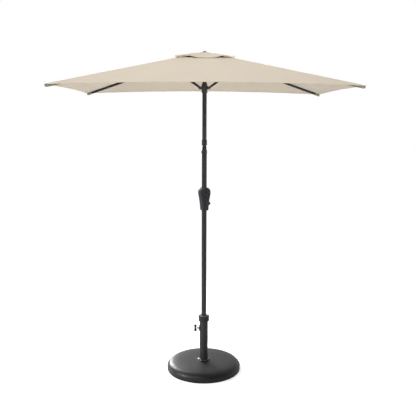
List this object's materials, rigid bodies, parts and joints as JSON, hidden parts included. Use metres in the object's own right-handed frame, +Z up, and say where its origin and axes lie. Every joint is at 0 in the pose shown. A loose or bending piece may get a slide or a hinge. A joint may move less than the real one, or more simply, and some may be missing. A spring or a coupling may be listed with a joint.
{
  "type": "patio umbrella with base",
  "caption": "Rectangular patio umbrella on a weighted round base, with a crank lift, a tilt joint, folding ribs and a vented fabric canopy.",
  "frame": {"origin": "middle of the base's underside, on the ground, on the pole's axis", "axes": "+Z up along the pole, +X along the canopy's long side, -Y towards the crank"},
  "size_m": [2, 1.41, 2.4495],
  "materials": {
    "canopy_cloth": "matte",
    "powder_coat": "satin",
    "base_resin": "satin",
    "black_plastic": "satin",
    "grey_plastic": "satin",
    "bright_steel": "polished",
    "rubber_foot": "matte",
    "concrete_fill": "matte",
    "cord_fibre": "matte",
    "nylon_part": "satin"
  },
  "bodies": {
    "base": {"base_shell": "base_resin", "base_weight": "concrete_fill", "base_plate": "bright_steel", "base_foot_ring": "rubber_foot", "base_ring": "base_resin", "base_tube": "powder_coat", "tube_bolt": "bright_steel", "base_collar": "black_plastic", "clamp_boss": "powder_coat"},
    "clamp_carrier": {"clamp_washer": "bright_steel"},
    "clamp_knob": {"clamp_screw": "bright_steel", "clamp_wing": "black_plastic"},
    "sleeve": {"reducer_sleeve": "grey_plastic"},
    "lower_mast": {"pole_end_plug": "black_plastic", "lower_pole": "powder_coat", "crank_housing_front": "black_plastic", "crank_housing_back": "black_plastic", "crank_bearing": "black_plastic", "housing_screw_upper": "bright_steel", "housing_screw_lower": "bright_steel", "tilt_fork": "black_plastic", "tilt_pin": "powder_coat", "tilt_spring": "bright_steel", "lift_cord_lower": "cord_fibre"},
    "button": {"tilt_button": "black_plastic"},
    "crank": {"crank_shaft": "powder_coat", "rope_drum": "nylon_part", "crank_arm": "powder_coat"},
    "grip": {"crank_knob": "black_plastic"},
    "upper_mast": {"tilt_tongue": "black_plastic", "upper_pole": "powder_coat", "top_hub": "black_plastic", "pulley_axle": "bright_steel", "finial": "black_plastic", "vent_flap": "canopy_cloth", "lift_cord_upper": "cord_fibre", "lift_cord_fall": "cord_fibre"},
    "pulley": {"cord_pulley": "nylon_part"},
    "slider": {"runner": "black_plastic"},
    "rib_arm_fr": {"rib_fr": "powder_coat", "rib_end_fr": "nylon_part", "strut_bracket_fr": "nylon_part", "canopy_fr": "canopy_cloth"},
    "strut_arm_fr": {"strut_fr": "powder_coat"},
    "rib_arm_br": {"rib_br": "powder_coat", "rib_end_br": "nylon_part", "strut_bracket_br": "nylon_part", "canopy_br": "canopy_cloth"},
    "strut_arm_br": {"strut_br": "powder_coat"},
    "rib_arm_bl": {"rib_bl": "powder_coat", "rib_end_bl": "nylon_part", "strut_bracket_bl": "nylon_part", "canopy_bl": "canopy_cloth"},
    "strut_arm_bl": {"strut_bl": "powder_coat"},
    "rib_arm_fl": {"rib_fl": "powder_coat", "rib_end_fl": "nylon_part", "strut_bracket_fl": "nylon_part", "canopy_fl": "canopy_cloth"},
    "strut_arm_fl": {"strut_fl": "powder_coat"}
  },
  "joints": [
    {"name": "clamp_travel", "type": "slide", "parent": "base", "child": "clamp_carrier", "axis": [-1, 0, 0], "range_m": [0, 0.0045]},
    {"name": "clamp_turn", "type": "hinge", "parent": "clamp_carrier", "child": "clamp_knob", "pos_m": [-0.04, 0, 0.333], "axis": [-1, 0, 0], "range_deg": [0, 1080]},
    {"name": "umbrella_swivel", "type": "hinge", "parent": "base", "child": "sleeve", "pos_m": [0, 0, 0.35], "axis": [0, 0, 1], "continuous": true},
    {"name": "pole_lift", "type": "slide", "parent": "sleeve", "child": "lower_mast", "axis": [0, 0, 1], "range_m": [0, 0.28]},
    {"name": "canopy_tilt", "type": "hinge", "parent": "lower_mast", "child": "upper_mast", "pos_m": [0, 0, 1.745], "axis": [0, 1, 0], "range_deg": [0, 20]},
    {"name": "tilt_release", "type": "slide", "parent": "lower_mast", "child": "button", "axis": [1, 0, 0], "range_m": [0, 0.003], "stiffness_N_per_m": 800, "springref_m": -0.002, "deforming": ["tilt_spring"]},
    {"name": "crank_turn", "type": "hinge", "parent": "lower_mast", "child": "crank", "pos_m": [0, 0, 1.405], "axis": [0.3746, -0.9272, 0], "range_deg": [-2161, 0]},
    {"name": "grip_spin", "type": "hinge", "parent": "crank", "child": "grip", "pos_m": [0.03372, -0.08345, 1.335], "axis": [0.3746, -0.9272, 0], "continuous": true},
    {"name": "pulley_turn", "type": "hinge", "parent": "upper_mast", "child": "pulley", "pos_m": [0, 0.01, 2.402], "axis": [1, 0, 0], "range_deg": [-2316.3, 0]},
    {"name": "runner_slide", "type": "slide", "parent": "upper_mast", "child": "slider", "axis": [0, 0, 1], "range_m": [-0.3443, 0], "deforming": ["lift_cord_fall"]},
    {"name": "canopy_fold", "type": "hinge", "parent": "upper_mast", "child": "rib_arm_fr", "pos_m": [0.03678, -0.02593, 2.41949], "axis": [-0.5762, -0.8173, 0], "range_deg": [-65.5, 0], "deforming": ["canopy_fr", "vent_flap"]},
    {"name": "strut_hinge_fr", "type": "hinge", "parent": "rib_arm_fr", "child": "strut_arm_fr", "pos_m": [0.25121, -0.1771, 2.34392], "axis": [0.5762, 0.8173, 0], "range_deg": [-116.6, 0]},
    {"name": "rib_hinge_br", "type": "hinge", "parent": "upper_mast", "child": "rib_arm_br", "pos_m": [0.03678, 0.02593, 2.41949], "axis": [0.5762, -0.8173, 0], "range_deg": [-65.6, 0], "deforming": ["canopy_br"]},
    {"name": "strut_hinge_br", "type": "hinge", "parent": "rib_arm_br", "child": "strut_arm_br", "pos_m": [0.25121, 0.1771, 2.34392], "axis": [-0.5762, 0.8173, 0], "range_deg": [-116.6, 0]},
    {"name": "rib_hinge_bl", "type": "hinge", "parent": "upper_mast", "child": "rib_arm_bl", "pos_m": [-0.03678, 0.02593, 2.41949], "axis": [0.5762, 0.8173, 0], "range_deg": [-65.6, 0], "deforming": ["canopy_bl"]},
    {"name": "strut_hinge_bl", "type": "hinge", "parent": "rib_arm_bl", "child": "strut_arm_bl", "pos_m": [-0.25121, 0.1771, 2.34392], "axis": [-0.5762, -0.8173, 0], "range_deg": [-116.6, 0]},
    {"name": "rib_hinge_fl", "type": "hinge", "parent": "upper_mast", "child": "rib_arm_fl", "pos_m": [-0.03678, -0.02593, 2.41949], "axis": [-0.5762, 0.8173, 0], "range_deg": [-65.6, 0], "deforming": ["canopy_fl"]},
    {"name": "strut_hinge_fl", "type": "hinge", "parent": "rib_arm_fl", "child": "strut_arm_fl", "pos_m": [-0.25121, -0.1771, 2.34392], "axis": [0.5762, -0.8173, 0], "range_deg": [-116.6, 0]}
  ],
  "couplings": [
    {"joint": "clamp_travel", "follows": "clamp_turn", "m_per_rad": 0.00023873},
    {"joint": "strut_hinge_fr", "follows": "canopy_fold", "ratio": 1.7778},
    {"joint": "rib_hinge_br", "follows": "canopy_fold", "ratio": 1},
    {"joint": "strut_hinge_br", "follows": "canopy_fold", "ratio": 1.7778},
    {"joint": "rib_hinge_bl", "follows": "canopy_fold", "ratio": 1},
    {"joint": "strut_hinge_bl", "follows": "canopy_fold", "ratio": 1.7778},
    {"joint": "rib_hinge_fl", "follows": "canopy_fold", "ratio": 1},
    {"joint": "strut_hinge_fl", "follows": "canopy_fold", "ratio": 1.7778},
    {"joint": "runner_slide", "follows": "canopy_fold", "m_per_rad": 0.30033},
    {"joint": "crank_turn", "follows": "canopy_fold", "ratio": 32.977},
    {"joint": "pulley_turn", "follows": "canopy_fold", "ratio": 35.333}
  ]
}
